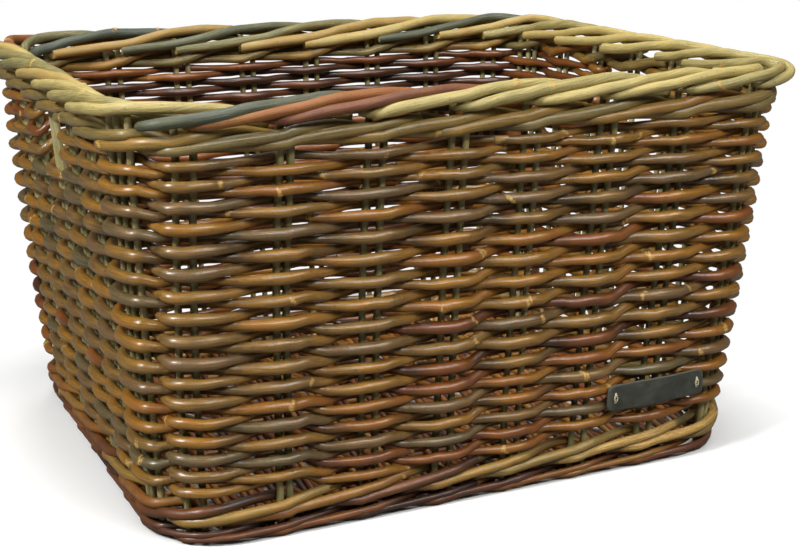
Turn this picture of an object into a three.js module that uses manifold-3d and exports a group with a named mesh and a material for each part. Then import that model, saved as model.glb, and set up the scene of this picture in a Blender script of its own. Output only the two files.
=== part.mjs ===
// Crate basket of cane. Twin stakes stand round the wall, rows of pairing are woven on them, a three-rod
// wale closes the weave above and below, a rolled border covers the top and a woven foot carries it all.
// A hand hole opens each short side. Millimetres, +Z up, front at -Y, origin under the middle.
import * as THREE from "three";
import { mergeVertices } from "three/addons/utils/BufferGeometryUtils.js";
import Module from "manifold-3d";

const wasm = await Module();
wasm.setup();

// Height from the floor to the top of the border, which the rows fill between the bands
const crateHeight = 284;

// Wall, measured to the middle of its thickness
const wallLengthFoot = 424;
const wallLengthRim = 472;
const wallDepthFoot = 350;
const wallDepthRim = 382;
const cornerRadius = 48;

// Stake sets: the outer sets of each short side stand in the corners and have three stakes. A side's sets
// stand evenly between two margins, measured from the wall's ends.
const frontSets = 8;
const sideSets = 7;
const longMarginFoot = 20;
const longMarginRim = 32.5;
const shortMarginFoot = 38.5;
const shortMarginRim = 26;
const stakeThickness = 4.4;
const twinSpacing = 10;
const cornerSpacing = 8;

// How far each front set stands to the right of its even place, from the left end on
const frontShifts = [-2, 0.7, 3, 2.3, -1.6, -2.3, -2.6, 1.5];

// Weavers, each a cane of three flats with its ridge turned out by a little more than half its depth
const weaverDepth = 6.1;
const ridgeShare = 0.55;
const rowCount = 17;

// By how much more the rows half way up take than those beside the bands, as a share of their height
const rowCrown = 0.2;

// Wale rods
const waleHeight = 5.5;
const waleDepth = 6.1;

// How far a wale rod stands above the band's middle at the two ends of a set, as shares of its height:
// outside the first set, outside the second, and inside the third
const waleRises = [[-0.65, -0.35], [0.35, 0.65], [0.3, -0.3]];

// Foot rods
const footHeight = 5.6;
const footDepth = 5.2;

// Rolled border, one long cane laid round three times as it turns over itself
const borderThickness = 7.4;
const borderRounds = 3;
const borderTurns = 31;
const borderSwing = 9;
const borderLift = 4.7;
const borderOverhang = 1.5;
const borderSides = 5;
const borderSteps = 6;
const pointsPerStep = 4;

// Hand holes: how many rows high, and how many sets are left out of the weave
const holeRows = 3;
const wrapRunOn = 1.5;
const wrapReach = 6.5;

// Base: an edge stick along the front and the back, and between them twin sticks with weavers in pairs
const edgeStickHeight = 7;
const edgeStickLift = 3;
const edgeStickWidth = 8;
const baseCornerEase = 5;
const baseStickCount = 5;
const baseStickWidth = 14.4;
const baseStickHeight = 4.2;
const baseWeaverCount = 40;
const baseWeaverHeight = 3.8;
const baseWeaverGap = 0.8;
const baseWeaverInset = 1.5;
const baseBite = 0.4;
const roundingSteps = 5;
const cutMargin = 1;

// Tag and its ties, low on the right of the front
const tagLength = 80;
const tagHeight = 19;
const tagThickness = 2;
const tagCorner = 4;
const tagFromEnd = 84;
const tagLevel = 60.5;
const tieInset = 6;
const tieSpan = 9;
const tieThickness = 1.2;
const tieReach = 0.2;

// Clearances
const seatGap = 0.65;
const strandGap = 0.3;
const rowGap = 0.8;
const edgeGap = 0.4;
const bandGap = 0.4;

const up = new THREE.Vector3(0, 0, 1);
const setCount = 2 * (frontSets + sideSets);

// Border: how far its cane swings out and rises as it turns, and how far it reaches up and down
const borderWave = Array.from({ length: borderSteps }, (_, step) => (2 * Math.PI * step) / borderSteps)
  .map((turn) => ({ out: borderSwing * Math.cos(turn), rise: borderLift * Math.sin(turn) }));
const borderCrest = Math.max(...borderWave.map(({ rise }) => rise));
const borderSole = borderCrest + (borderThickness / 2) * Math.cos(Math.PI / borderSides);

// Heights of the bands, stacked from the floor, with the rows in what the others leave
const footLevel = footHeight + strandGap / 2;
const waleBand = 3 * waleHeight + 2 * strandGap;
const borderLevel = crateHeight - borderCrest - borderThickness / 2;
const upperWaleLevel = borderLevel - borderSole - bandGap - waleBand / 2;
const lowerWaleLevel = 2 * footLevel + bandGap + waleBand / 2;
const rowsHeight = upperWaleLevel - lowerWaleLevel - waleBand - 2 * bandGap;

// Height that each row takes up with the gap over it, from the lowest on
const rowShares = Array.from({ length: rowCount }, (_, row) => {
  const place = (2 * row) / (rowCount - 1) - 1;
  return 1 + rowCrown * (1 / 3 - place ** 2);
});
const shareTotal = rowShares.reduce((sum, share) => sum + share);
const rowPitches = rowShares.map((share) => ((rowsHeight + rowGap) * share) / shareTotal);

// Base: its middle, and how far its weavers rise and fall from there as they cross the sticks
const baseLevel = edgeStickLift + edgeStickHeight / 2;
const baseWave = (baseStickHeight + baseWeaverHeight) / 2 - baseBite;

const looks = {
  stake: { color: 0x6b6246, roughness: 0.75 },
  weaver: { color: 0x84603a, roughness: 0.55 },
  wale: { color: 0x9a7440, roughness: 0.55 },
  border: { color: 0xa09a76, roughness: 0.8 },
  foot: { color: 0x6a4a2c, roughness: 0.65 },
  base: { color: 0x7c5c38, roughness: 0.7 },
  tag: { color: 0x3a3c34, roughness: 0.6 },
  tie: { color: 0xb4aa8c, roughness: 0.7 },
};

// Value at a height, from its value at the floor and at the rim
function atHeight(footValue, rimValue, z) {
  return footValue + ((rimValue - footValue) * z) / crateHeight;
}

// Half lengths of the wall at a height, and a quarter of its way round
function wallAt(z) {
  const halfLength = atHeight(wallLengthFoot, wallLengthRim, z) / 2;
  const halfDepth = atHeight(wallDepthFoot, wallDepthRim, z) / 2;
  const quarter = halfLength + halfDepth - 2 * cornerRadius + (Math.PI * cornerRadius) / 2;
  return { halfLength, halfDepth, quarter };
}

const sides = [
  { along: new THREE.Vector3(1, 0, 0), out: new THREE.Vector3(0, -1, 0) },
  { along: new THREE.Vector3(0, 1, 0), out: new THREE.Vector3(1, 0, 0) },
  { along: new THREE.Vector3(-1, 0, 0), out: new THREE.Vector3(0, 1, 0) },
  { along: new THREE.Vector3(0, -1, 0), out: new THREE.Vector3(-1, 0, 0) },
];

// Point and outward direction on the wall, a way round it anticlockwise from the middle of the front
function wallPoint(way, z, outwards = 0) {
  const { halfLength, halfDepth, quarter } = wallAt(z);
  const wayRound = THREE.MathUtils.euclideanModulo(way, 4 * quarter);
  const side = Math.floor(wayRound / quarter) % 4;
  const rest = wayRound - side * quarter;
  const { along, out } = sides[side];
  const reachAlong = (side % 2 === 0 ? halfLength : halfDepth) - cornerRadius;
  const reachOut = (side % 2 === 0 ? halfDepth : halfLength) - cornerRadius;
  const turn = THREE.MathUtils.clamp((rest - reachAlong) / cornerRadius, 0, Math.PI / 2);
  const before = Math.min(rest, reachAlong);
  const after = Math.max(rest - reachAlong - (Math.PI * cornerRadius) / 2, 0);
  const normal = along.clone().multiplyScalar(Math.sin(turn)).addScaledVector(out, Math.cos(turn));
  const point = along.clone().multiplyScalar(before).addScaledVector(out, reachOut - after);
  point.addScaledVector(normal, cornerRadius + outwards).setZ(z);
  return { point, normal };
}

// Which side a set stands on and its place there, counted anticlockwise from the left end of the front
function setPlace(index) {
  let rest = THREE.MathUtils.euclideanModulo(index, setCount);
  let side = 0;
  let count = frontSets;
  while (rest >= count) {
    rest -= count;
    side += 1;
    count = side % 2 === 0 ? frontSets : sideSets;
  }
  const corner = side % 2 === 1 && (rest === 0 || rest === count - 1);
  return { side, place: rest - (count - 1) / 2, corner };
}

// Way from one set to the next at a height, on a long or a short side
function setPitch(long, z) {
  const { halfLength, halfDepth } = wallAt(z);
  if (long) {
    return (2 * (halfLength - atHeight(longMarginFoot, longMarginRim, z))) / (frontSets - 1);
  }
  return (2 * (halfDepth - atHeight(shortMarginFoot, shortMarginRim, z))) / (sideSets - 1);
}

// Way round to the middle of a set at a height
function setWay(index, z) {
  const { side, place } = setPlace(index);
  const shift = side === 0 ? (frontShifts[place + (frontSets - 1) / 2] ?? 0) : 0;
  return side * wallAt(z).quarter + place * setPitch(side % 2 === 0, z) + shift;
}

// Where the stakes of a set stand, either side of its middle
function stakeOffsets(index) {
  if (setPlace(index).corner) {
    return [-cornerSpacing, 0, cornerSpacing];
  }
  return [-twinSpacing / 2, twinSpacing / 2];
}

// Half the way that a weaver stays beside a set
function setReach(index) {
  return stakeOffsets(index).at(-1) + stakeThickness / 2 + seatGap;
}

// How far the wall bulges past a straight cane laid across a set
function bulge(index, z) {
  const reach = setReach(index);
  const way = setWay(index, z);
  const chord = wallPoint(way - reach, z).point.add(wallPoint(way + reach, z).point).multiplyScalar(0.5);
  return chord.distanceTo(wallPoint(way, z).point);
}

// Closed mesh through rings of corners, capped at both ends unless it runs round in a loop
function meshRings(rings, closed) {
  const count = rings[0].length;
  const positions = rings.flat().flatMap((corner) => corner.toArray());
  const index = [];
  const last = closed ? rings.length : rings.length - 1;
  for (let ring = 0; ring < last; ring += 1) {
    const next = (ring + 1) % rings.length;
    for (let corner = 0; corner < count; corner += 1) {
      const beside = (corner + 1) % count;
      const [a, b] = [ring * count + corner, ring * count + beside];
      const [c, d] = [next * count + corner, next * count + beside];
      index.push(a, c, b, b, c, d);
    }
  }
  if (!closed) {
    const end = (rings.length - 1) * count;
    for (let corner = 1; corner < count - 1; corner += 1) {
      index.push(0, corner, corner + 1, end, end + corner + 1, end + corner);
    }
  }
  const geometry = new THREE.BufferGeometry();
  geometry.setAttribute("position", new THREE.Float32BufferAttribute(positions, 3));
  geometry.setIndex(volumeOf(positions, index) < 0 ? index.reverse() : index);
  return geometry;
}

// Signed volume inside a list of triangles
function volumeOf(positions, index) {
  const [a, b, c] = [new THREE.Vector3(), new THREE.Vector3(), new THREE.Vector3()];
  let volume = 0;
  for (let corner = 0; corner < index.length; corner += 3) {
    a.fromArray(positions, 3 * index[corner]);
    b.fromArray(positions, 3 * index[corner + 1]);
    c.fromArray(positions, 3 * index[corner + 2]);
    volume += a.dot(b.cross(c)) / 6;
  }
  return volume;
}

// Rings of a section carried along samples, mitred at each bend. A sample has its point and its flat
// direction, and a section corner is given across the bend and along the flat.
function carrySection(samples, section, closed) {
  const count = samples.length;
  const heading = (from, to, flat) => to.point.clone().sub(from.point).projectOnPlane(flat).normalize();
  return samples.map((sample, place) => {
    const before = samples[(place + count - 1) % count];
    const after = samples[(place + 1) % count];
    const arriving = closed || place > 0 ? heading(before, sample, sample.flat) : null;
    const leaving = closed || place < count - 1 ? heading(sample, after, sample.flat) : arriving;
    const first = (arriving ?? leaving).clone().cross(sample.flat);
    const across = first.clone().add(leaving.clone().cross(sample.flat)).normalize();
    across.divideScalar(across.dot(first));
    return section.map(([side, rise]) =>
      sample.point.clone().addScaledVector(across, side).addScaledVector(sample.flat, rise));
  });
}

function squareSection(width, height) {
  const [side, rise] = [width / 2, height / 2];
  return [[side, rise], [-side, rise], [-side, -rise], [side, -rise]];
}

// Three flats: the ridge lies on the outer side of a cane that runs anticlockwise
function ridgeSection(depth, height) {
  const [ridge, back] = [depth * ridgeShare, depth * (ridgeShare - 1)];
  return [[ridge, 0], [back, height / 2], [back, -height / 2]];
}

// Height of a weaver in a row of some pitch, and its section
function weaverHeight(pitch) {
  return (pitch - rowGap - strandGap) / 2;
}

function weaverSection(pitch) {
  return ridgeSection(weaverDepth, weaverHeight(pitch));
}

// How far a section reaches to its outer and its inner side
function sectionReach(section) {
  const across = section.map(([side]) => side);
  return { outer: Math.max(...across), inner: -Math.min(...across) };
}

// Distance of a cane's middle from the middle of the wall where it passes a set
function passDistance(index, z, outside, section, direction) {
  const { outer, inner } = sectionReach(section);
  const towardsStakes = outside === direction > 0 ? inner : outer;
  const clear = stakeThickness / 2 + seatGap + towardsStakes;
  return outside ? clear + bulge(index, z) : -clear;
}

// Two samples of a cane beside a set, in its running direction. Levels are given at the set's two ends,
// clockwise end first, and so is what the cane runs on past each end before it bends.
function passSamples(index, level, levels, outside, section, direction = 1, runOn = [0, 0]) {
  const reach = setReach(index);
  const ends = [[-reach - runOn[0], levels[0]], [reach + runOn[1], levels[1]]];
  if (direction < 0) {
    ends.reverse();
  }
  return ends.map(([offset, lift]) => {
    const z = level + lift;
    const distance = passDistance(index, z, outside, section, direction);
    return { point: wallPoint(setWay(index, z) + offset, z, distance).point, flat: up };
  });
}

// Sample in the middle of the gap after a set, in the middle of the wall
function gapSample(index, z) {
  const after = setWay(index + 1, z) + (index % setCount === setCount - 1 ? 4 * wallAt(z).quarter : 0);
  return { point: wallPoint((setWay(index, z) + after) / 2, z).point, flat: up };
}

// Pairing: two canes that cross between the sets, one outside and one inside each set. An outside cane
// rises to the right. The pair runs on from one cane into the other once, so it is one unbroken cane.
function pairingRow(level, section, height) {
  const lift = (height + strandGap) / 2;
  const shift = setCount % 2 === 0 ? 1 : 0;
  const samples = [];
  for (let pass = 0; pass < 2 * setCount; pass += 1) {
    const index = pass % setCount;
    const outside = (pass + shift * Math.floor(pass / setCount)) % 2 === 0;
    samples.push(...passSamples(index, level, outside ? [-lift, lift] : [lift, -lift], outside, section));
  }
  return meshRings(carrySection(samples, section, true), true);
}

// Pairing from one set to another, whose canes turn back round the last stakes at both ends
function turnedRow(level, from, to, section, height) {
  const lift = (height + strandGap) / 2;
  const samples = [];
  const pass = (index, outside, direction) => {
    const levels = outside ? [-lift, lift] : [lift, -lift];
    const runOn = [index === from ? wrapRunOn : 0, index === to ? wrapRunOn : 0];
    samples.push(...passSamples(index, level, levels, outside, section, direction, runOn));
  };
  const beyond = (index, way) => ({ point: wallPoint(setWay(index, level) + way, level).point, flat: up });
  for (let index = from; index <= to; index += 1) {
    pass(index, (index - from) % 2 === 0, 1);
  }
  samples.push(beyond(to, setReach(to) + wrapReach));
  for (let index = to; index >= from; index -= 1) {
    pass(index, (index - from) % 2 === 1, -1);
  }
  samples.push(beyond(from, -setReach(from) - wrapReach));
  return meshRings(carrySection(samples, section, true), true);
}

// Three-rod wale: each cane passes outside two sets and inside one, rising as it goes. It is one unbroken
// cane that goes round three times.
function waleRing(level, section, height) {
  const lift = height + strandGap;
  const shift = setCount % 3 === 0 ? 2 : 0;
  const samples = [];
  const roleOf = (pass) => (pass + shift * Math.floor(pass / setCount)) % 3;
  for (let pass = 0; pass < 3 * setCount; pass += 1) {
    const index = pass % setCount;
    const role = roleOf(pass);
    const next = roleOf((pass + 1) % (3 * setCount));
    const ends = waleRises[role].map((share) => share * lift);
    samples.push(...passSamples(index, level, ends, role < 2, section));
    if (role === 1 && next === 2) {
      samples.push(gapSample(index, level + lift));
    }
    if (role === 2 && next === 0) {
      samples.push(gapSample(index, level - lift));
    }
  }
  return meshRings(carrySection(samples, section, true), true);
}

// Samples of the border: it swings out, over, in and under as it runs round
function borderPath() {
  const path = [];
  const count = borderTurns * borderSteps;
  for (let step = 0; step < count; step += 1) {
    const { out, rise } = borderWave[step % borderSteps];
    const way = (borderRounds * 4 * wallAt(borderLevel).quarter * step) / count;
    const { point, normal } = wallPoint(way, borderLevel, borderOverhang + out);
    path.push({ point: point.addScaledVector(up, rise), normal });
  }
  return path;
}

// Smallest distance between the surfaces of two lays of the border cane, measured on points along it
function borderGap(path) {
  const fine = [];
  path.forEach((sample, place) => {
    const next = path[(place + 1) % path.length].point;
    for (let part = 0; part < pointsPerStep; part += 1) {
      fine.push(sample.point.clone().lerp(next, part / pointsPerStep));
    }
  });
  const near = fine.length / borderRounds / 2;
  let least = Infinity;
  fine.forEach((point, place) => {
    for (let other = place + Math.round(near); other < fine.length - near; other += 1) {
      least = Math.min(least, point.distanceTo(fine[other]));
    }
  });
  return least - borderThickness;
}

function borderRing() {
  const path = borderPath();
  console.log(`least gap between lays of the border: ${borderGap(path).toFixed(2)} mm`);
  const rings = path.map(({ point, normal }) => {
    const corners = [];
    for (let side = 0; side < borderSides; side += 1) {
      const angle = Math.PI / 2 + (2 * Math.PI * side) / borderSides;
      const out = (borderThickness / 2) * Math.cos(angle);
      const rise = (borderThickness / 2) * Math.sin(angle);
      corners.push(point.clone().addScaledVector(normal, out).addScaledVector(up, rise));
    }
    return corners;
  });
  return meshRings(rings, true);
}

// The stakes of a set are one cane, folded at the foot, and folded again under the border in a corner
function stakeFold(index) {
  const half = stakeThickness / 2;
  const top = borderLevel - borderSole - edgeGap - half;
  const bottom = edgeGap + half;
  const samples = [];
  stakeOffsets(index).forEach((offset, stake, stakes) => {
    const run = [top, (top + bottom) / 2, bottom];
    if (stake === 0) {
      run[0] += half;
    }
    if (stake % 2 === 1) {
      run.reverse();
    }
    if (stake === stakes.length - 1) {
      run[2] += stake % 2 === 1 ? half : -half;
    }
    run.forEach((z) => {
      const { point, normal } = wallPoint(setWay(index, z) + offset, z);
      samples.push({ point, flat: normal });
    });
  });
  return meshRings(carrySection(samples, squareSection(stakeThickness, stakeThickness), false), false);
}

// Manifold solid of a closed geometry, and back
function toSolid(geometry) {
  const bare = geometry.clone();
  bare.deleteAttribute("normal");
  bare.deleteAttribute("uv");
  const merged = mergeVertices(bare, 1e-4);
  const mesh = new wasm.Mesh({
    numProp: 3,
    vertProperties: new Float32Array(merged.attributes.position.array),
    triVerts: new Uint32Array(merged.index.array),
  });
  mesh.merge();
  return new wasm.Manifold(mesh);
}

function toGeometry(solid) {
  const mesh = solid.getMesh();
  const geometry = new THREE.BufferGeometry();
  geometry.setAttribute("position", new THREE.BufferAttribute(mesh.vertProperties, 3));
  geometry.setIndex(new THREE.BufferAttribute(mesh.triVerts, 1));
  return geometry;
}

// Plate with round corners, lying on its lowest face
function roundedPlate(halfLength, halfDepth, radius, thickness) {
  const shape = new THREE.Shape();
  shape.moveTo(halfLength, radius - halfDepth);
  shape.absarc(halfLength - radius, halfDepth - radius, radius, 0, Math.PI / 2, false);
  shape.absarc(radius - halfLength, halfDepth - radius, radius, Math.PI / 2, Math.PI, false);
  shape.absarc(radius - halfLength, radius - halfDepth, radius, Math.PI, 1.5 * Math.PI, false);
  shape.absarc(halfLength - radius, radius - halfDepth, radius, 1.5 * Math.PI, 2 * Math.PI, false);
  const options = { depth: thickness, bevelEnabled: false, curveSegments: roundingSteps };
  return new THREE.ExtrudeGeometry(shape, options);
}

// Half the length and half the depth of the space inside the foot, and the radius of its corners
function baseRoom() {
  const { halfLength, halfDepth } = wallAt(edgeStickLift);
  const inset = stakeThickness / 2 + seatGap + footDepth + edgeGap;
  const corner = cornerRadius - inset + baseCornerEase;
  return { halfLength: halfLength - inset, halfDepth: halfDepth - inset, corner };
}

// That space as a solid of some height round the middle of the base
function baseSpace(height) {
  const { halfLength, halfDepth, corner } = baseRoom();
  const space = roundedPlate(halfLength, halfDepth, corner, height);
  return toSolid(space.translate(0, 0, baseLevel - height / 2));
}

function edgeStickBox(front, margin, height) {
  const { halfLength, halfDepth } = baseRoom();
  const length = 2 * (halfLength + cutMargin);
  const box = new THREE.BoxGeometry(length, 2 * (edgeStickWidth + margin), height + 2 * cutMargin);
  return toSolid(box.translate(0, front ? -halfDepth : halfDepth, baseLevel));
}

function edgeStick(front) {
  const box = edgeStickBox(front, 0, edgeStickHeight);
  return toGeometry(baseSpace(edgeStickHeight).intersect(box));
}

// Pair of weavers side by side, over one twin stick and under the next, between the edge sticks
function baseWeaver(place, pitch) {
  const { halfLength, halfDepth } = baseRoom();
  const across = (halfLength - baseWeaverInset) / baseWeaverCount;
  const x = (2 * place + 1 - baseWeaverCount) * across;
  const samples = [];
  for (let stick = 0; stick < baseStickCount + 2; stick += 1) {
    const rise = (place + stick) % 2 === 0 ? baseWave : -baseWave;
    const y = stick * pitch + edgeStickWidth / 2 - halfDepth;
    samples.push({ point: new THREE.Vector3(x, y, baseLevel + rise), flat: new THREE.Vector3(1, 0, 0) });
  }
  const section = squareSection(baseWeaverHeight, 2 * across - baseWeaverGap);
  return toSolid(meshRings(carrySection(samples, section, false), false));
}

// Panel of the base: the weavers press into the sticks that they cross, so they hold as one piece
function baseWeave() {
  const { halfLength, halfDepth } = baseRoom();
  const pitch = (2 * halfDepth - edgeStickWidth) / (baseStickCount + 1);
  const parts = [];
  for (let stick = 1; stick <= baseStickCount; stick += 1) {
    const rod = new THREE.BoxGeometry(2 * (halfLength + cutMargin), baseStickWidth, baseStickHeight);
    parts.push(toSolid(rod.translate(0, stick * pitch + edgeStickWidth / 2 - halfDepth, baseLevel)));
  }
  for (let place = 0; place < baseWeaverCount; place += 1) {
    parts.push(baseWeaver(place, pitch));
  }
  const height = 2 * baseLevel;
  let space = baseSpace(height);
  [true, false].forEach((front) => {
    space = space.subtract(edgeStickBox(front, edgeGap, height));
  });
  return toGeometry(wasm.Manifold.union(parts).intersect(space));
}

// Distance from the middle of the front wall to the tag's back, which lies on the weavers' ridges
function tagSeat() {
  const setBehind = frontSets - 2;
  const section = weaverSection(rowPitches[0]);
  return passDistance(setBehind, tagLevel, true, section, 1) + sectionReach(section).outer + edgeGap;
}

// Front face of the wall at the tag's height
function tagPlane() {
  return -wallAt(tagLevel + tagHeight / 2).halfDepth - tagSeat();
}

// Middle of the tag along the front
function tagMiddle() {
  return wallAt(tagLevel).halfLength - tagFromEnd;
}

// The tag is a leather plate with two pairs of holes for its ties
function tagPlate() {
  const plate = roundedPlate(tagLength / 2, tagHeight / 2, tagCorner, tagThickness);
  plate.rotateX(Math.PI / 2).translate(tagMiddle(), tagPlane(), tagLevel);
  const holeWidth = tieThickness + 2 * edgeGap;
  const holeDepth = 2 * (tagThickness + cutMargin);
  let solid = toSolid(plate);
  tiePlaces().forEach((x) => {
    [-1, 1].forEach((side) => {
      const hole = new THREE.BoxGeometry(holeWidth, holeDepth, holeWidth);
      hole.translate(x, tagPlane(), tagLevel + (side * tieSpan) / 2);
      solid = solid.subtract(toSolid(hole));
    });
  });
  return toGeometry(solid);
}

function tiePlaces() {
  return [-1, 1].map((side) => tagMiddle() + side * (tagLength / 2 - tieInset));
}

// A tie runs across the tag's face and back through its two holes, and ends before the weavers' ridges
function tie(x) {
  const front = tagPlane() - tagThickness - edgeGap - tieThickness / 2;
  const back = tagPlane() + tieReach;
  const flat = new THREE.Vector3(1, 0, 0);
  const corners = [[back, -1], [front, -1], [front, 1], [back, 1]];
  const samples = corners.map(([y, side]) => ({
    point: new THREE.Vector3(x, y, tagLevel + (side * tieSpan) / 2),
    flat,
  }));
  return meshRings(carrySection(samples, squareSection(tieThickness, tieThickness), false), false);
}

const waleSection = ridgeSection(waleDepth, waleHeight);
const footSection = squareSection(footDepth, footHeight);
const group = new THREE.Group();

function addPiece(name, geometry, look) {
  geometry.computeVertexNormals();
  const mesh = new THREE.Mesh(geometry, new THREE.MeshStandardMaterial(look));
  mesh.name = name;
  group.add(mesh);
}

const twoDigits = (number) => String(number).padStart(2, "0");

// Sets in the middle of the short sides, where the hand holes are
const rightHole = frontSets + (sideSets - 1) / 2;
const leftHole = rightHole + frontSets + sideSets;

for (let index = 0; index < setCount; index += 1) {
  addPiece(`stake_set_${twoDigits(index + 1)}`, stakeFold(index), looks.stake);
}
let rowFoot = lowerWaleLevel + waleBand / 2 + bandGap;
rowPitches.forEach((pitch, row) => {
  const level = rowFoot + (pitch - rowGap) / 2;
  const size = [weaverSection(pitch), weaverHeight(pitch)];
  const name = `weave_row_${twoDigits(row + 1)}`;
  if (row < rowCount - holeRows) {
    addPiece(name, pairingRow(level, ...size), looks.weaver);
  } else {
    const front = turnedRow(level, leftHole + 1 - setCount, rightHole - 1, ...size);
    const back = turnedRow(level, rightHole + 1, leftHole - 1, ...size);
    addPiece(`${name}_front`, front, looks.weaver);
    addPiece(`${name}_back`, back, looks.weaver);
  }
  rowFoot += pitch;
});
addPiece("foot_weave", pairingRow(footLevel, footSection, footHeight), looks.foot);
addPiece("lower_wale", waleRing(lowerWaleLevel, waleSection, waleHeight), looks.wale);
addPiece("upper_wale", waleRing(upperWaleLevel, waleSection, waleHeight), looks.wale);
addPiece("rolled_border", borderRing(), looks.border);
addPiece("base_weave", baseWeave(), looks.base);
addPiece("base_edge_stick_front", edgeStick(true), looks.base);
addPiece("base_edge_stick_back", edgeStick(false), looks.base);
addPiece("tag", tagPlate(), looks.tag);
tiePlaces().forEach((x, place) => addPiece(`tag_tie_${place + 1}`, tie(x), looks.tie));

export default group;
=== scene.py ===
# Crate basket of cane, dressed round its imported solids
import math

import bpy
import numpy as np
from mathutils import Matrix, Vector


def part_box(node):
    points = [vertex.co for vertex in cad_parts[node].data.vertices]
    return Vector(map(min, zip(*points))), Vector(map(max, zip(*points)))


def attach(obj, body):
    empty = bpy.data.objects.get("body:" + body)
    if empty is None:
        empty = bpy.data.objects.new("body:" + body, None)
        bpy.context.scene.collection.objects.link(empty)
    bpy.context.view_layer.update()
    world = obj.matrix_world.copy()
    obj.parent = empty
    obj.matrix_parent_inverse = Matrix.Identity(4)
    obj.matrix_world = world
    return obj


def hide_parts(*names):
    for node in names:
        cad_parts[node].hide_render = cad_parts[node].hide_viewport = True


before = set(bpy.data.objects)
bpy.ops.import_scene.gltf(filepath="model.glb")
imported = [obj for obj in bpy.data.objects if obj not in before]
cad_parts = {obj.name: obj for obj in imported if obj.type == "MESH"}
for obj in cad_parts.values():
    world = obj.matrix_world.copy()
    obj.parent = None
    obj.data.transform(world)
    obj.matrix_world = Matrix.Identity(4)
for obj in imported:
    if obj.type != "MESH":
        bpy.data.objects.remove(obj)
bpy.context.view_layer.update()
print("frame loaded:", len(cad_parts), "nodes")

# Everything is worked out in millimetres and written to the meshes in metres
millimetre = 0.001
perMetre = 1 / millimetre

# The wall's middle surface and the places of its stakes, as the solids have them
wall = {
    "lengthFoot": 424, "lengthRim": 472,
    "depthFoot": 350, "depthRim": 382,
    "cornerRadius": 48, "height": 284,
    "longSets": 8, "shortSets": 7,
    "longMarginFoot": 20, "longMarginRim": 32.5,
    "shortMarginFoot": 38.5, "shortMarginRim": 26,
    "frontShifts": [-2, 0.7, 3, 2.3, -1.6, -2.3, -2.6, 1.5],
    "frontLeans": [5.5, 5.5, 4.5, 3.5, 1.5, 1.8, 2.3, 3], "leanHeight": 240, "leanTop": 250,
    "twinSpacing": 10, "closeTwins": {1: 6.5}, "cornerSpacing": 8,
    "holeRows": 3, "rowCount": 17,
}
sideCounts = [wall["longSets"], wall["shortSets"]] * 2
setCount = sum(sideCounts)
setSides = [(side, rest) for side, count in enumerate(sideCounts) for rest in range(count)]
setIndexes = np.arange(-2 * setCount, 4 * setCount)
rightHole = wall["longSets"] + (wall["shortSets"] - 1) // 2
leftHole = rightHole + wall["longSets"] + wall["shortSets"]
frontMiddle = (wall["longSets"] - 1) / 2
cornerSets = (wall["longSets"], wall["longSets"] + wall["shortSets"] - 1,
              2 * wall["longSets"] + wall["shortSets"], setCount - 1)


# Lowest and highest corner of a node's box, in millimetres
def boxOf(node):
    return [np.array(corner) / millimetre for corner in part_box(node)]


def levelOf(node):
    return np.mean(boxOf(node), axis=0)[2]


wholeRows = wall["rowCount"] - wall["holeRows"]
rowNodes = [f"weave_row_{row + 1:02d}" + ("" if row < wholeRows else "_front")
            for row in range(wall["rowCount"])]
rowLevels = [levelOf(node) for node in rowNodes]
rowHeights = [np.ptp(boxOf(node), axis=0)[2] for node in rowNodes]
borderLevel = levelOf("rolled_border")


# Half length, half depth and a quarter of the way round at a height: each side changes evenly from
# the foot to the rim, and the quarter is two half sides less two radii plus the arc of a corner
def wallSizes(z):
    share = z / wall["height"]
    halfLength, halfDepth = ((wall[size + "Foot"] + (wall[size + "Rim"] - wall[size + "Foot"]) * share) / 2
                             for size in ("length", "depth"))
    radius = wall["cornerRadius"]
    return halfLength, halfDepth, halfLength + halfDepth - 2 * radius + math.pi * radius / 2


# Points on the wall and their outward directions. The way runs anticlockwise from the middle of the
# front: along half a side, round a corner as radius times sine and cosine of the turn, then along half
# of the next side. What stands outwards is added along the outward direction.
def onWall(way, z, outwards):
    halfLength, halfDepth, quarter = wallSizes(z)
    radius = wall["cornerRadius"]
    wayRound = np.mod(way, 4 * quarter)
    side = np.minimum(np.floor(wayRound / quarter), 3).astype(int)
    rest = wayRound - side * quarter
    longSide = side % 2 == 0
    reachAlong = np.where(longSide, halfLength, halfDepth) - radius
    reachOut = np.where(longSide, halfDepth, halfLength) - radius
    turn = np.clip((rest - reachAlong) / radius, 0, math.pi / 2)
    before = np.minimum(rest, reachAlong)
    after = np.maximum(rest - reachAlong - math.pi * radius / 2, 0)
    along = np.array([[1, 0], [0, 1], [-1, 0], [0, -1]])[side]
    out = np.array([[0, -1], [1, 0], [0, 1], [-1, 0]])[side]
    normal = along * np.sin(turn)[:, None] + out * np.cos(turn)[:, None]
    flat = along * before[:, None] + out * (reachOut - after)[:, None]
    flat = flat + normal * (radius + outwards)[:, None]
    return np.column_stack([flat, z]), np.column_stack([normal, np.zeros(len(z))])


# Way round to the middle of each set at the foot and at the rim, for as many rounds as a cane may run.
# The sets of a side stand evenly between its margins, and those of the front a little off that.
def setWays(end):
    pitches = [(wall[size + end] - 2 * wall[margin + end]) / (wall[count] - 1) for size, margin, count in (
        ("length", "longMargin", "longSets"), ("depth", "shortMargin", "shortSets"))]
    quarter = wallSizes(0 if end == "Foot" else wall["height"])[2]
    ways = []
    for index in setIndexes:
        side, rest = setSides[index % setCount]
        place = rest - (sideCounts[side] - 1) / 2
        shift = wall["frontShifts"][rest] if side == 0 else 0
        ways.append((4 * (index // setCount) + side) * quarter + place * pitches[side % 2] + shift)
    return np.array(ways)


footWays, rimWays = setWays("Foot"), setWays("Rim")


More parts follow.
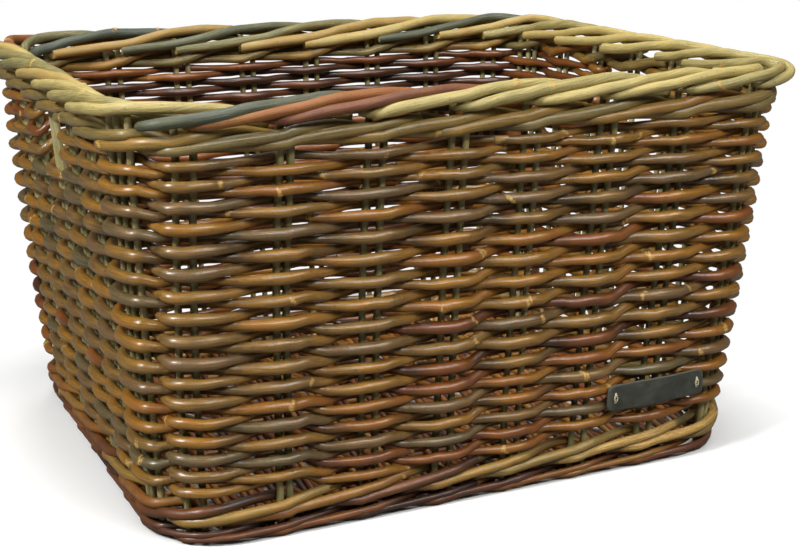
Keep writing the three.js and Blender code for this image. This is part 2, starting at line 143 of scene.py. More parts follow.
# Value at a place: the front's sets have their own, the others share one, and it runs straight between
def roundFront(place, front, elsewhere):
    values = np.full(setCount, float(elsewhere))
    values[:len(front)] = front
    return np.interp(place, np.arange(setCount), values, period=setCount)


# Way round to a place counted in sets, straight between the sets and straight between foot and rim. The
# front's sets were pushed to the right near the rim: what they lean grows with the third power of the
# height, as far as the top, and they start a millimetre to the left.
def wayOf(place, z):
    atFoot = np.interp(place, setIndexes, footWays)
    atRim = np.interp(place, setIndexes, rimWays)
    lean = roundFront(place, wall["frontLeans"], 0)
    pushed = lean * (np.minimum(z, wall["leanTop"]) / wall["leanHeight"]) ** 3 - np.minimum(lean, 1)
    return atFoot + (atRim - atFoot) * z / wall["height"] + pushed


# Where the stakes of a set stand beside its middle: three in a corner, and elsewhere two
def stakeOffsets(index):
    if index % setCount in cornerSets:
        return [-wall["cornerSpacing"], 0, wall["cornerSpacing"]]
    half = wall["closeTwins"].get(index % setCount, wall["twinSpacing"]) / 2
    return [-half, half]


# Half the width of a set's stakes
def setReach(index):
    return stakeOffsets(index)[-1] + stakes["diameter"] / 2


# Free way between a set and the next, half way up
def freeWay(index):
    middles = [wayOf(index + step, wall["height"] / 2) for step in (0, 1)]
    return middles[1] - middles[0] - setReach(index) - setReach(index + 1)


# Curve through control rows: between two of them it is the cubic that meets both with half the slope
# from their neighbours
def smoothRows(control, perSpan):
    padded = np.vstack([2 * control[:1] - control[1:2], control, 2 * control[-1:] - control[-2:-1]])
    a, b, c, d = (part[:, None, :] for part in (padded[:-3], padded[1:-2], padded[2:-1], padded[3:]))
    t = (np.arange(perSpan) / perSpan)[None, :, None]
    curve = (2 * b + (c - a) * t + (2 * a - 5 * b + 4 * c - d) * t ** 2
             + (3 * b - a - 3 * c + d) * t ** 3) / 2
    return np.vstack([curve.reshape(-1, control.shape[1]), control[-1:]])


# Distance along a path to each of its points
def stationsOf(path):
    return np.concatenate([[0], np.cumsum(np.linalg.norm(np.diff(path, axis=0), axis=1))])


# Four-cornered faces between rings of points, each ring closed
def ringFaces(ringCount, sides):
    ring, corner = np.arange(ringCount - 1)[:, None], np.arange(sides)[None, :]
    beyond = (corner + 1) % sides
    return np.stack([ring * sides + corner, ring * sides + beyond,
                     (ring + 1) * sides + beyond, (ring + 1) * sides + corner], -1).reshape(-1, 4)


# Slow random change along a length, straight between random values up to the amount, a step apart
def drift(random, length, step, amount):
    count = max(int(length / step), 2) + 2
    knots = random.uniform(-amount, amount, count)
    return lambda station: np.interp(station, np.arange(count) * length / (count - 1), knots)


# What all rods share, in millimetres, radians round them and shares of their radius
rodShape = {"uneven": (22, 0.04), "oval": 0.04, "endShare": 0.9, "endGap": 0.5, "ringGap": 0.4,
            "slant": 0.5, "slantTurn": 9, "lidStep": 0.005, "lidRise": 0.25}
knotShape = {"half": 4, "rings": 15, "lean": 1.2, "wander": 0.9, "width": 0.6, "widen": 0.55, "round": 1.5,
             "rough": (0.2, 1.7), "rise": 0.26, "paleness": 1.3, "pitch": 56, "endGap": 12, "facing": 0.9,
             "sizes": (1.2, 2.6)}


# One rod: rings of corners round a path. A ring is the path's point plus the radius times the cosine of
# the outward direction and the sine of the sideways one. Fine gives the rings' corners and spacing. Both
# ends are cut off, a little aslant, and closed. Bare says along the path how far the skin is worn off,
# and below nought how much painted shade darkens it. A knot is the rough pale ring that a leaf sheath
# left: a bell curve along the rod whose middle leans with the angle, times a wide bell curve round it.
def makeRod(random, path, outward, radius, tone, fine, knots=(), bare=0.0):
    sides, spacing = fine
    station = stationsOf(path)
    length = station[-1]
    rings = np.linspace(0, length, max(int(length / spacing), 4))
    half, endGap = knotShape["half"], rodShape["endGap"]
    extra = [np.linspace(at - half, at + half, knotShape["rings"]) for at, angle, size in knots]
    rings = np.unique(np.round(np.clip(np.concatenate([rings, *extra]), endGap, length - endGap), 3))
    apart = np.concatenate([[True], np.diff(rings) > rodShape["ringGap"]])
    rings = np.concatenate([[0], rings[apart], [length]])
    pick = lambda values: np.interp(rings, station, np.broadcast_to(values, station.shape))
    points = np.column_stack([pick(values) for values in path.T])
    facing = np.column_stack([pick(values) for values in np.transpose(outward)])
    tangent = np.gradient(points, rings, axis=0)
    tangent /= np.linalg.norm(tangent, axis=1)[:, None]
    across = facing - tangent * np.sum(facing * tangent, axis=1)[:, None]
    across /= np.linalg.norm(across, axis=1)[:, None]
    beside = np.cross(tangent, across)
    angles = 2 * math.pi * np.arange(sides) / sides
    uneven = drift(random, length, *rodShape["uneven"])
    thickness = pick(radius) * (1 + uneven(rings))
    oval = 1 + rodShape["oval"] * np.cos(2 * (angles[None, :] - random.uniform(0, math.pi)))
    reach = thickness[:, None] * oval
    pale = np.repeat(pick(bare)[:, None], sides, axis=1)
    for at, angle, size in knots:
        turned = np.mod(angles - angle + math.pi, 2 * math.pi) - math.pi
        wander = random.uniform(-knotShape["wander"], knotShape["wander"], sides)
        centre = at + knotShape["lean"] * np.sin(2 * turned + at) + wander
        width = knotShape["width"] + knotShape["widen"] * size
        bell = np.exp(-((rings[:, None] - centre[None, :]) / width) ** 2)
        bell = bell * np.exp(-(turned / knotShape["round"]) ** 2)[None, :]
        rough = random.uniform(*knotShape["rough"], bell.shape)
        reach = reach + size * knotShape["rise"] * bell * rough
        pale = np.maximum(pale, np.clip(knotShape["paleness"] * bell * rough, 0, 1))
    reach[[0, -1]] *= rodShape["endShare"]
    shell = (points[:, None, :] + reach[..., None]
             * (np.cos(angles)[None, :, None] * across[:, None, :]
                + np.sin(angles)[None, :, None] * beside[:, None, :]))
    for end, slant in zip((0, -1), random.uniform(-rodShape["slant"], rodShape["slant"], 2)):
        leaning = slant * reach[end] * np.cos(angles - slant * rodShape["slantTurn"])
        shell[end] += tangent[end] * leaning[:, None]
    count = len(rings)
    faces = [ringFaces(count, sides)]
    girth = math.pi * 2 * np.mean(thickness)
    corner = np.arange(sides)[None, :]
    start, stop = rings[:-1, None], rings[1:, None]
    unrolled = [np.stack([np.stack(np.broadcast_arrays(along, (corner + step) * girth / sides), -1)
                          for along, step in ((start, 0), (start, 1), (stop, 1), (stop, 0))],
                         2).reshape(-1, 4, 2)]
    vertices = [shell.reshape(-1, 3)]
    toneAt = np.broadcast_to(tone(rings) if callable(tone) else tone, (count,))
    tones = [np.repeat(toneAt, sides)]
    pales = [pale.reshape(-1)]
    size = count * sides
    for end, sign in ((0, -1), (-1, 1)):
        lid = shell[end] * (1 - rodShape["lidStep"]) + points[end] * rodShape["lidStep"]
        middle = points[end] + tangent[end] * rodShape["lidRise"] * sign
        even = np.arange(0, sides, 2)
        fan = np.stack([np.full(len(even), sides), even, even + 1, (even + 2) % sides], -1)
        fan = fan if sign > 0 else fan[:, [0, 3, 2, 1]]
        local = np.vstack([lid, middle]) - middle
        spread = np.stack([local @ across[end], local @ beside[end]], -1)
        faces.append(fan + size)
        unrolled.append(spread[fan])
        vertices.append(np.vstack([lid, middle]))
        tones.append(np.full(sides + 1, toneAt[end]))
        pales.append(np.ones(sides + 1))
        size += sides + 1
    return {"vertices": np.vstack(vertices), "faces": np.vstack(faces), "unrolled": np.vstack(unrolled),
            "tone": np.concatenate(tones), "pale": np.concatenate(pales)}


def newObject(name, data):
    made = bpy.data.objects.new(name, data)
    bpy.context.scene.collection.objects.link(made)
    return made


# Stands an object at a spot in metres, with the directions of its own three axes
def standAt(made, spot, *axes):
    turned = Matrix(np.column_stack(axes).tolist()).to_4x4()
    made.matrix_world = Matrix.Translation(spot) @ turned


# Writes rods or other four-cornered surfaces into one mesh object, with their unrolled map in metres
# and what each point's tone and paleness are; paleness below nought is painted shade
def makePiece(name, parts, material, slot, *nodes):
    vertices = np.vstack([part["vertices"] for part in parts]) * millimetre
    starts = np.cumsum([0] + [len(part["vertices"]) for part in parts[:-1]])
    faces = np.vstack([part["faces"] + start for part, start in zip(parts, starts)])
    mesh = bpy.data.meshes.new(name)
    mesh.vertices.add(len(vertices))
    mesh.vertices.foreach_set("co", vertices.astype(np.float32).ravel())
    mesh.loops.add(faces.size)
    mesh.loops.foreach_set("vertex_index", faces.astype(np.int32).ravel())
    mesh.polygons.add(len(faces))
    mesh.polygons.foreach_set("loop_start", np.arange(0, faces.size, 4, dtype=np.int32))
    mesh.update(calc_edges=True)
    mesh.polygons.foreach_set("use_smooth", np.ones(len(faces), bool))
    unrolled = np.vstack([part["unrolled"] for part in parts]) * millimetre
    mesh.uv_layers.new(name="unrolled").data.foreach_set("uv", unrolled.astype(np.float32).ravel())
    for key in ("tone", "pale"):
        values = np.concatenate([part[key] for part in parts])
        mesh.attributes.new(key, "FLOAT", "POINT").data.foreach_set("value", values.astype(np.float32))
    mesh.validate()
    mesh.materials.append(material)
    piece = newObject(name, mesh)
    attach(piece, "root")
    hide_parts(*nodes)


# Colour of an sRGB hex value as linear numbers: the dark end is divided by 12.92, and the rest follows
# the 2.4 power
def linearColour(hexValue):
    channels = np.array([hexValue >> 16 & 255, hexValue >> 8 & 255, hexValue & 255]) / 255
    linear = np.where(channels <= 0.04045, channels / 12.92, ((channels + 0.055) / 1.055) ** 2.4)
    return (*(float(channel) for channel in linear), 1.0)


# Adds one node with its own settings, and fills its inputs with values or with links from sockets, or
# from the first output of other nodes
def addNode(tree, kind, inputs=None, **settings):
    node = tree.nodes.new("ShaderNode" + kind)
    for key, value in settings.items():
        setattr(node, key, value)
    for key, value in (inputs or {}).items():
        if isinstance(value, bpy.types.Node):
            value = value.outputs[0]
        if isinstance(value, bpy.types.NodeSocket):
            tree.links.new(value, node.inputs[key])
        else:
            node.inputs[key].default_value = value
    return node


def newMaterial(name):
    material = bpy.data.materials.new(name)
    material.use_nodes = True
    tree = material.node_tree
    tree.nodes.clear()
    return material, tree


# Fills a colour ramp with stops of a place and a hex colour
def fillRamp(node, stops):
    elements = node.color_ramp.elements
    while len(elements) < len(stops):
        elements.new(0.5)
    for element, (place, hexValue) in zip(elements, stops):
        element.position = place
        element.color = linearColour(hexValue)


# Rattan cane with its skin on: the unpeeled skin gives it a satin gloss, fine streaks along the fibre,
# slow blotches of grey and brown, dark specks where the sheath was, painted shade that darkens it in the
# crossings, and pale raw wood where it is cut or peeled. A cane's tone also moves its streaks, so that no
# two have the same ones. Sizes are in millimetres, and the raw fibres are counted in one.
def caneMaterial(name, look):
    material, tree = newMaterial(name)
    tone = addNode(tree, "Attribute", attribute_name="tone").outputs["Fac"]
    pale = addNode(tree, "Attribute", attribute_name="pale").outputs["Fac"]
    place = addNode(tree, "TexCoord").outputs["Object"]
    unrolled = addNode(tree, "UVMap", uv_map="unrolled")
    perCane = addNode(tree, "CombineXYZ", {"Z": tone})
    moved = addNode(tree, "VectorMath", {0: perCane, 1: (0, 0, look["streakMove"]), 2: unrolled},
                    operation="MULTIPLY_ADD")
    streakMap = addNode(tree, "Mapping", {
        "Vector": moved, "Scale": (perMetre / look["streakLength"], perMetre / look["streakWidth"], 1)})
    streaks, blotches, specks, fibres = (
        addNode(tree, "TexNoise", {"Vector": at, "Scale": scale, "Detail": detail, "Roughness": rough})
        for at, scale, detail, rough in (
            (streakMap, 1, 5, 0.6), (place, perMetre / look["blotchSize"], 4, 0.6),
            (place, perMetre / look["speckSize"], 2, 0.7), (place, perMetre * look["fibres"], 3, 0.7)))
    shifted = addNode(tree, "Math", {0: streaks, 1: look["streakShift"], 2: tone}, operation="MULTIPLY_ADD")
    blotched = addNode(tree, "Math", {0: blotches, 1: look["blotchShift"], 2: shifted},
                       operation="MULTIPLY_ADD")
    centred = addNode(tree, "Math", {0: blotched, 1: (look["streakShift"] + look["blotchShift"]) / 2},
                      operation="SUBTRACT")
    ramp = addNode(tree, "ValToRGB", {"Fac": centred})
    fillRamp(ramp, look["colours"])
    lightness = addNode(tree, "MapRange", {
        "Value": streaks, "From Min": 0.3, "From Max": 0.7,
        "To Min": 1 - look["streakDepth"], "To Max": 1 + look["streakDepth"]})
    speckShade = addNode(tree, "MapRange", {
        "Value": specks, "From Min": 0.62, "From Max": 0.7, "To Min": 1, "To Max": 1 - look["speckDepth"]})
    shade = addNode(tree, "Math", {0: lightness, 1: speckShade}, operation="MULTIPLY")
    # Painted shade: paleness below nought, which a cane has where it dips into a crossing, darkens its
    # colour by up to the share in the look
    paintedShade = addNode(tree, "MapRange", {
        "Value": pale, "From Min": -1, "From Max": 0, "To Min": 1 - look["paintedShade"], "To Max": 1})
    withPaintedShade = addNode(tree, "Math", {0: shade, 1: paintedShade}, operation="MULTIPLY")
    skin = addNode(tree, "VectorMath", {0: ramp, "Scale": withPaintedShade}, operation="SCALE")
    rawRamp = addNode(tree, "ValToRGB", {
        "Fac": addNode(tree, "Mix", {"Factor": 0.7, "A": fibres, "B": streaks})})
    fillRamp(rawRamp, look["rawColours"])
    ragged = addNode(tree, "Math", {0: fibres, 1: 0.5, 2: pale}, operation="MULTIPLY_ADD")
    bare = addNode(tree, "MapRange", {"Value": ragged, "From Min": 0.6, "From Max": 0.85})
    base = addNode(tree, "Mix", {"Factor": bare, "A": skin, "B": rawRamp}, data_type="RGBA")
    gloss = addNode(tree, "MapRange", {
        "Value": blotches, "From Min": 0.3, "From Max": 0.7,
        "To Min": look["roughness"] - 0.08, "To Max": look["roughness"] + 0.1})
    dulled = addNode(tree, "Math", {0: bare, 1: 0.3, 2: gloss}, operation="MULTIPLY_ADD", use_clamp=True)
    relief = addNode(tree, "Math", {0: specks, 1: 0.5, 2: streaks}, operation="MULTIPLY_ADD")
    bump = addNode(tree, "Bump", {"Strength": look["bump"], "Distance": 0.0006, "Height": relief})
    shader = addNode(tree, "BsdfPrincipled", {
        "Base Color": base.outputs["Result"], "Roughness": dulled, "Normal": bump, "IOR": 1.5,
        "Coat Weight": look["skinGloss"], "Coat Roughness": 0.2})
    addNode(tree, "OutputMaterial", {"Surface": shader})
    return material


rawWood = [(0.33, 0x6e4a20), (0.45, 0xa8803c), (0.55, 0xc09c54), (0.72, 0xdcc68c)]
# Look of the canes: one of its shares is painted shade that darkens them where they dip into the crossings
caneLook = {
    "streakLength": 18, "streakWidth": 0.8, "streakShift": 0.3, "streakDepth": 0.34, "streakMove": 57,
    "blotchSize": 26, "blotchShift": 0.4, "speckSize": 1.8, "speckDepth": 0.45,
    "roughness": 0.34, "skinGloss": 0.4, "bump": 0.45, "paintedShade": 0.6, "fibres": 1.2, "rawColours": rawWood,
    "colours": [(0.0, 0x4c4830), (0.14, 0x605434), (0.28, 0x6c5231), (0.42, 0x7c5d2a), (0.55, 0x8f6320),
                (0.66, 0x844e1b), (0.8, 0x683917), (0.92, 0x4a2813), (1.0, 0x382011)],
}
weaverCane = caneMaterial("weaverCane", caneLook)
waleCane = caneMaterial("waleCane", {
    **caneLook, "roughness": 0.42, "skinGloss": 0.25,
    "colours": [(0.0, 0x535134), (0.2, 0x70643a), (0.4, 0x826c38), (0.55, 0x92702e), (0.7, 0x84521f),
                (0.85, 0x653a1a), (1.0, 0x44260f)]})
footCane = caneMaterial("footCane", {**caneLook, "roughness": 0.5})
baseCane = caneMaterial("baseCane", {**caneLook, "roughness": 0.52, "skinGloss": 0.1})

# Stakes are thinner shoots that keep their green-grey skin
stakeCane = caneMaterial("stakeCane", {
    **caneLook, "roughness": 0.48, "skinGloss": 0.1, "streakDepth": 0.25,
    "colours": [(0.0, 0x6b6746), (0.3, 0x807a4e), (0.6, 0x978d5c), (0.85, 0xaca070), (1.0, 0xbcb080)]})

# Border rods are the thick butts, weathered to a matte grey green, with cracks and lichen specks
borderCane = caneMaterial("borderCane", {
    **caneLook, "roughness": 0.52, "skinGloss": 0.1, "bump": 0.8, "streakDepth": 0.26, "streakWidth": 0.7,
    "blotchShift": 0.16, "speckSize": 1.6,
    "colours": [(0.0, 0x3f463a), (0.14, 0x5a583a), (0.3, 0x857a49), (0.45, 0xa6965c), (0.58, 0xb29f60),
                (0.7, 0x967539), (0.85, 0x8a5320), (1.0, 0x643a28)]})
print("materials made")

# Camera at the photograph's viewing angle, worked out from the crate's own lines in it
view = {"place": (-429.1, -963.4, 408.9), "yaw": 25.262, "down": 15.924, "roll": 0.228, "focal": 64.28,
        "sensor": 36}
turn, down, roll = (math.radians(view[key]) for key in ("yaw", "down", "roll"))
forward = np.array([math.sin(turn) * math.cos(down), math.cos(turn) * math.cos(down), -math.sin(down)])
level = np.array([math.cos(turn), -math.sin(turn), 0])
upright = np.cross(level, forward)
right = level * math.cos(roll) + upright * math.sin(roll)
upward = upright * math.cos(roll) - level * math.sin(roll)
cameraData = bpy.data.cameras.new("camera")
cameraData.lens = view["focal"]
cameraData.sensor_width = view["sensor"]
camera = newObject("camera", cameraData)
standAt(camera, [value * millimetre for value in view["place"]], right, upward, -forward)
bpy.context.scene.camera = camera

# Stakes: straight shoots that stand between the weavers
stakes = {"diameter": 4.7, "fine": (10, 8), "foot": 1.5, "underBorder": 3, "steps": 40,
          "lean": (60, 0.5), "tones": (0.15, 0.85)}
random = np.random.default_rng(5)
stakeTop = borderLevel - stakes["underBorder"]
for index in range(setCount):
    rods = []
    for offset in stakeOffsets(index):
        z = np.linspace(stakes["foot"], stakeTop, stakes["steps"])
        lean = drift(random, stakeTop, *stakes["lean"])(z)
        sway = drift(random, stakeTop, *stakes["lean"])(z)
        path, normal = onWall(wayOf(np.full(len(z), index), z) + offset + sway, z, lean)
        tone = random.uniform(*stakes["tones"])
        rods.append(makeRod(random, path, normal, stakes["diameter"] / 2, tone, stakes["fine"]))
    makePiece(f"stakes_{index + 1:02d}", rods, stakeCane, "stake_cane", f"stake_set_{index + 1:02d}")
print("stakes made")


# Turn round the crate from the middle of the front to a place counted in sets
def turnRound(place):
    return 2 * math.pi * (place - frontMiddle) / setCount


# Tone of the weavers by the place on the wall: golden at the front and the right, greyer to the left by
# the sine of the turn round, and redder to the back by its cosine
wallTones = {"front": 0.53, "left": 0.17, "back": 0.27, "backFrom": 0.1}


def wallTone(place):
    left = np.maximum(-np.sin(turnRound(place)), 0)
    back = np.maximum(-np.cos(turnRound(place)) - wallTones["backFrom"], 0)
    return wallTones["front"] - wallTones["left"] * left + wallTones["back"] * back


# Control rows of a weaver past one set: place, offset, distance outwards and height. It lies on the
# outer or the inner side of the stakes, bows a little between them and goes through the wall half way
# to the next set. Its shoulders are a share of the free way off and a share of the seat out. The upper
# cane of a row passes outside the even sets and the lower one outside the odd ones, each at its level.
def passRows(index, outside, weave):
    reach = setReach(index)
    before, after = freeWay(index - 1), freeWay(index)
    seat = (weave["diameter"] + stakes["diameter"]) / 2 + weave["slack"]
    level = weave["upper"] if (index % 2 == 0) == outside else weave["lower"]
    side = seat if outside else -seat
    away, share = weave["shoulder"]
    return [[index, -reach - before / 2, 0, level],
            [index, -reach - away * before, side * share, level],
            [index, -reach, side, level],
            [index, 0, side * weave["bow"], level],
            [index, reach, side, level],
            [index, reach + away * after, side * share, level]]


# How far the rows stand above their level, in sets along the wall and at three heights: they were
# beaten down more in the middle of the front than at its ends
rowRises = {
    "heights": [45, 130, 235], "elsewhere": [3, 3, 5.5],
    "front": [[5, 5, 0, -2.3, 0.3, 2.6, 5.5, 4.6], [1.7, 0.6, -2, -3.3, 0.3, 1.4, 6, 6.4],
              [3.2, 3, 2.3, 2.6, 3, 4, 5.4, 6]],
}


def rowRise(place, level):
    rises = [roundFront(place, front, elsewhere)
             for front, elsewhere in zip(rowRises["front"], rowRises["elsewhere"])]
    along = np.interp(level, rowRises["heights"], range(len(rises)))
    lower = min(int(along), len(rises) - 2)
    return rises[lower] + (rises[lower + 1] - rises[lower]) * (along - lower)


# What all the canes on the wall share
caneLay = {"steps": 6, "wobbleOut": 0.6, "thickness": (0.95, 1.05), "tones": (0.03, 0.97), "peeled": 0.56}


# Path of a cane from control rows: smoothed, then laid on the wall. Its radius shrinks in the crossings
# by the share of the squeeze, as far as it is from the stakes' outer or inner side, and painted shade
# darkens its colour there. Where it is peeled, outside and between two places, the raw fibres show. Its
# tone changes along it, and that of a row's cane, which rises, is added to that of its place on the wall.
def layCane(random, control, level, weave, tone, change, knotLength, rise=None, peeled=None):
    along = drift(random, *change)
    knots = someKnots(random, knotLength, weave["knotChance"])
    control = np.array(control, float)
    wobble = weave["wobble"]
    control[:, 2] += random.uniform(-wobble, wobble, len(control)) * caneLay["wobbleOut"]
    control[:, 3] += random.uniform(-wobble, wobble, len(control))
    curve = smoothRows(control, caneLay["steps"])
    place, offset, outwards, height = curve.T
    z = level + height + (rise(place, level) if rise else 0)
    path, normal = onWall(wayOf(place, z) + offset, z, outwards)
    seat = (weave["diameter"] + stakes["diameter"]) / 2
    beside = np.clip(np.abs(outwards) / seat, 0, 1) ** 2
    thickness = weave["diameter"] * random.uniform(*caneLay["thickness"]) / 2
    radius = thickness * (weave["squeeze"] + (1 - weave["squeeze"]) * beside)
    # Painted shade: paleness below nought, deepest in the crossings, that darkens the cane's colour
    bare = beside - 1
    station, placeTone = stationsOf(path), wallTone(place) if rise else np.zeros(len(path))
    limits = caneLay["tones"] if rise else (0, 1)
    tones = lambda s: np.clip(tone + along(s) + np.interp(s, station, placeTone), *limits)
    if peeled:
        inPeel = (place > peeled[0]) & (place < peeled[1]) & (outwards > 0)
        bare = np.where(inPeel, caneLay["peeled"], bare)
    return makeRod(random, path, normal, radius, tones, weave["fine"], knots, bare)


# Knots of a cane: places along it with the angle they face and their size
def someKnots(random, length, chance):
    count = random.binomial(max(int(length / knotShape["pitch"]), 1), chance)
    endGap, facing = knotShape["endGap"], knotShape["facing"]
    return [(random.uniform(endGap, length - endGap), random.uniform(-facing, facing),
             random.uniform(*knotShape["sizes"])) for each in range(count)]


# Rows of plain weave: a cane passes outside one set and inside the next, and the cane over it does the
# reverse. Each is made of canes a few sets long, and a new cane starts inside, on top of the old one's
# end. A lead is given by side of the set, and past it, outwards and up. A turn is given by how far its
# shoulders and its tip are past the stakes, and the share of the seat at its shoulders.
rows = {
    "firstSeed": 100, "diameter": 7.6, "squeeze": 0.8, "slack": -0.2, "bow": 1.07, "shoulder": (0.19, 0.74),
    "wobble": 0.5, "fine": (10, 3.4), "gap": 0.8, "shortest": 7, "longest": 18, "leastRest": 4,
    "lead": [(-1, -9, -6, 2.5), (0, 0, -4.5, 1.5), (1, 6, 1, 0.5)], "tail": 9, "settle": 0.5,
    "turn": (4.6, 6.6, 0.7), "knotChance": 0.2, "knotPitch": 52, "turnedKnots": 1500,
    "tones": 0.15, "driftPitch": 60, "drift": (150, 0.1), "turnedTones": 0.08,
    "turnedDrift": (1800, 130, 0.18),
}


# Sizes of a row: its canes and their two levels, at a quarter and three quarters of its pitch, go with
# the height that the row takes up
def rowSizes(row):
    share = rowHeights[row] / np.mean(rowHeights)
    pitch = rowHeights[row] + rows["gap"]
    return {**rows, "diameter": rows["diameter"] * share, "upper": -0.25 * pitch, "lower": -0.75 * pitch}


def ringRow(random, row):
    sizes = rowSizes(row)
    canes = []
    for strand in range(2 if row > 0 else 1):
        level = sizes["lower"] if strand else sizes["upper"]
        inside = [index for index in range(setCount) if (index + strand) % 2 == 1]
        start = int(random.choice(inside))
        begin, last = start, start + setCount
        while begin < last:
            span = 2 * int(random.integers(rows["shortest"], rows["longest"]) // 2)
            end = min(begin + span, last)
            end = last if last - end < rows["leastRest"] else end
            control = []
            for index in range(begin, end + 1):
                control += passRows(index, (index + strand) % 2 == 0, sizes)
            lead = [[begin, side * setReach(begin) + past, out - sizes["diameter"], level + up]
                    for side, past, out, up in rows["lead"]]
            tail = control[-4:-1]
            tail[-1] = [end, setReach(end) + rows["tail"], tail[-2][2] - rows["settle"],
                        level - rows["settle"]]
            control = lead + control[6:-4] + tail
            change = rows["driftPitch"] * (end - begin), *rows["drift"]
            canes.append(layCane(random, control, rowLevels[row], sizes, random.normal(0, rows["tones"]),
                                 change, rows["knotPitch"] * (end - begin), rowRise))
            begin = end
    return canes


# A row beside the hand holes: one cane that turns back round the last stakes at both ends
def turnedRow(random, row, first, last):
    sizes = rowSizes(row)
    seat = (sizes["diameter"] + stakes["diameter"]) / 2
    middle = (sizes["upper"] + sizes["lower"]) / 2
    there, back = [], []
    for index in range(first, last + 1):
        there += passRows(index, (index - first) % 2 == 0, sizes)
        back += passRows(index, (index - first) % 2 == 1, sizes)
    shoulder, tip, share = rows["turn"]
    low, endLevel, backLevel = there[2][3], there[-2][3], back[-2][3]
    left, right = -setReach(first), setReach(last)
    begin = [[first, 1, -seat, low + 1.5], [first, left, -seat, low + 1],
             [first, left - shoulder, -seat * share, low + 0.5], [first, left - tip, 0, low],
             [first, left - shoulder, seat * share, low]]
    side = -share if (last - first) % 2 else share
    turn = [[last, right + shoulder, side * seat, endLevel], [last, right + tip, 0, middle],
            [last, right + shoulder, -side * seat, backLevel]]
    control = begin + there[2:-1] + turn + back[2:-1][::-1]
    return [layCane(random, control, rowLevels[row], sizes, random.normal(0, rows["turnedTones"]),
                    rows["turnedDrift"], rows["turnedKnots"], rowRise)]


for row in range(wall["rowCount"]):
    random = np.random.default_rng(rows["firstSeed"] + row)
    if row < wholeRows:
        pieces = {"": ringRow(random, row)}
    else:
        pieces = {"_front": turnedRow(random, row, leftHole + 1 - setCount, rightHole - 1),
                  "_back": turnedRow(random, row, rightHole + 1, leftHole - 1)}
    for part, canes in pieces.items():
        name = f"row_{row + 1:02d}{part}"
        makePiece(name, canes, weaverCane, "weaver_cane", "weave_" + name)
print("rows made")


# Three-rod wale: each rod passes outside two sets, climbing all the way, and then inside one, where it
# falls back. Three rods follow each other one set apart. At each set, from half way before it to its far
# side, the climb gives four heights as shares of the lift: for the first set outside and for the second.
waleRods = {"climb": [[-1, -0.95, -0.8, -0.55], [-0.1, 0.15, 0.45, 0.7]], "bow": 1.04,
            "bowBetween": 1.05, "firstCut": (0.3, 0.4), "secondCut": (0.6, 0.75), "rowPitch": 12,
            "drift": (500, 130, 0.1)}


def waleBand(random, level, wale):
    rods = []
    seat = (wale["diameter"] + stakes["diameter"]) / 2 + wale["slack"]
    for rod in range(3):
        control = []
        for index in range(rod, rod + setCount + 3):
            role = (index - rod) % 3
            reach = setReach(index)
            side = seat if role < 2 else -seat
            outs = [seat * waleRods["bowBetween"] if role == 1 else 0, side, side * waleRods["bow"], side]
            rises = [*waleRods["climb"], wale["inside"]][role]
            places = [(index - 0.5, 0), (index, -reach), (index, 0), (index, reach)]
            control += [[*place, out, rise * wale["lift"]] for place, out, rise in zip(places, outs, rises)]
        control = control[8:]
        cuts = [int(len(control) * random.uniform(*waleRods[cut])) for cut in ("firstCut", "secondCut")]
        for first, last in zip([0, *cuts], [*cuts, len(control)]):
            span = control[max(first - 2, 0):last + 1]
            tone = float(np.clip(random.normal(*wale["tones"]), 0, 1))
            rods.append(layCane(random, span, level, wale, tone, waleRods["drift"],
                                waleRods["rowPitch"] * len(span), peeled=wale["peeled"].get(rod)))
    return rods


upperWale = {"diameter": 7.4, "squeeze": 0.9, "slack": 0.1, "lift": 5.0, "wobble": 0.5, "fine": (10, 4.2),
             "knotChance": 0.1, "tones": (0.42, 0.09), "inside": [0.8, -0.2, -0.55, -0.9], "peeled": {}}
lowerWale = {"diameter": 6.8, "squeeze": 0.95, "slack": 0.1, "lift": 5.1, "wobble": 0.5, "fine": (10, 4.2),
             "knotChance": 0.12, "tones": (0.55, 0.15), "inside": [1, 0.9, 0.1, -0.6],
             "peeled": {2: (4.7, 6.7), 0: (5.7, 7.4)}}
foot = {"diameter": 4.8, "squeeze": 0.95, "slack": 0.1, "lift": 2.5, "wobble": 0.2, "fine": (10, 4.2),
        "knotChance": 0.05, "tones": (0.75, 0.12), "inside": [1, 0.9, 0.1, -0.6], "peeled": {}}
random = np.random.default_rng(31)
for name, wale, material, slot, node in (
        ("upper_wale_rods", upperWale, waleCane, "wale_cane", "upper_wale"),
        ("lower_wale_rods", lowerWale, waleCane, "wale_cane", "lower_wale"),
        ("foot_rods", foot, footCane, "foot_cane", "foot_weave")):
    makePiece(name, waleBand(random, levelOf(node), wale), material, slot, node)
print("wales and foot made")

